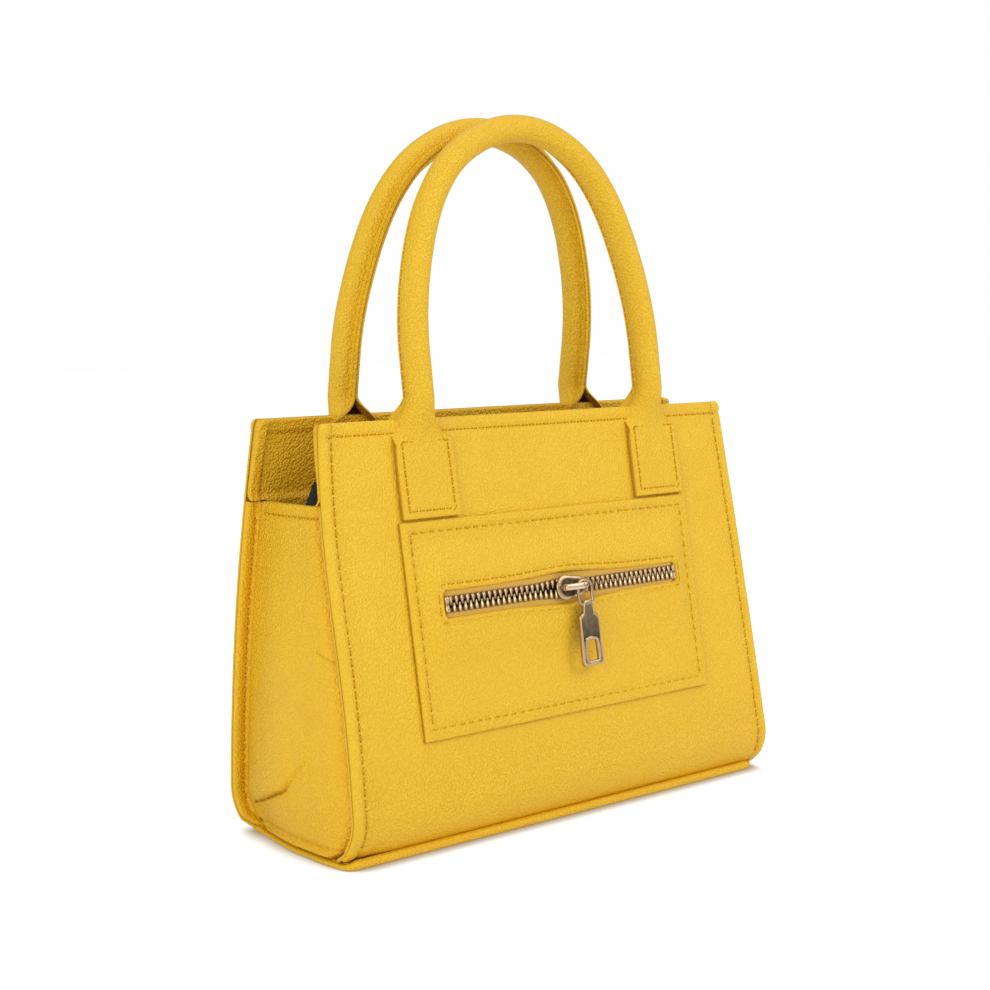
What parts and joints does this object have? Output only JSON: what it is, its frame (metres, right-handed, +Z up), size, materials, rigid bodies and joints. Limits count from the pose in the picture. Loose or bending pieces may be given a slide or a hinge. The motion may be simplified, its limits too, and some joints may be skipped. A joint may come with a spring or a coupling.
{
  "type": "top handle bag",
  "caption": "Small structured handbag with two rolled top handles, open mouth, bulged side gussets and a zipped patch pocket on the front.",
  "frame": {"origin": "middle of the base, on the surface that the bag stands on", "axes": "+Z up, the front panel with the pocket faces -Y, +X to the right seen from the front"},
  "size_m": [0.208, 0.0747, 0.249],
  "materials": {
    "leather": "smooth grained",
    "side_leather": "smooth grained",
    "lining": "woven",
    "board": "pressed leather fibre board",
    "rope": "twisted cotton",
    "zip_tape": "woven",
    "antique_metal": "antique, worn"
  },
  "bodies": {
    "bag_body": {"front_panel": "leather", "back_panel": "leather", "gusset_left": "side_leather", "gusset_right": "side_leather", "base_panel": "leather", "base_board": "board", "base_piping": "leather", "front_board": "board", "back_board": "board", "front_facing": "leather", "back_facing": "leather", "front_lining": "lining", "back_lining": "lining", "left_lining": "lining", "right_lining": "lining", "base_lining": "lining", "pocket_patch": "leather", "zip_tape_upper": "zip_tape", "zip_tape_lower": "zip_tape", "zip_teeth_upper": "antique_metal", "zip_teeth_lower": "antique_metal", "zip_top_stops": "antique_metal", "zip_bottom_stop": "antique_metal", "front_left_tab": "leather", "front_right_tab": "leather", "back_left_tab": "leather", "back_right_tab": "leather", "snap_socket": "antique_metal", "snap_stud": "antique_metal"},
    "front_handle": {"front_handle_cover": "leather", "front_handle_core": "rope"},
    "back_handle": {"back_handle_cover": "leather", "back_handle_core": "rope"},
    "zip_slider": {"slider_body": "antique_metal", "slider_bridge": "antique_metal"},
    "pull_link": {"pull_link": "antique_metal"},
    "pull_tab": {"pull_tab": "antique_metal"}
  },
  "joints": [
    {"name": "front_handle_fold", "type": "hinge", "parent": "bag_body", "child": "front_handle", "pos_m": [0, -0.01794, 0.13857], "axis": [1, 0, 0], "range_deg": [0, 135]},
    {"name": "back_handle_fold", "type": "hinge", "parent": "bag_body", "child": "back_handle", "pos_m": [0, 0.01794, 0.13857], "axis": [-1, 0, 0], "range_deg": [0, 135]},
    {"name": "zip_slide", "type": "slide", "parent": "bag_body", "child": "zip_slider", "axis": [1, 0, 0], "range_m": [-0.04965, 0.04965], "deforming": ["zip_teeth_upper", "zip_teeth_lower", "zip_tape_upper", "zip_tape_lower"]},
    {"name": "link_swing", "type": "hinge", "parent": "zip_slider", "child": "pull_link", "pos_m": [0.0049, -0.03307, 0.08205], "axis": [0, -0.9874, 0.1582], "range_deg": [-60, 60]},
    {"name": "pull_lift", "type": "hinge", "parent": "pull_link", "child": "pull_tab", "pos_m": [0.0063, -0.03414, 0.07538], "axis": [-1, 0, 0], "range_deg": [0, 135]}
  ]
}
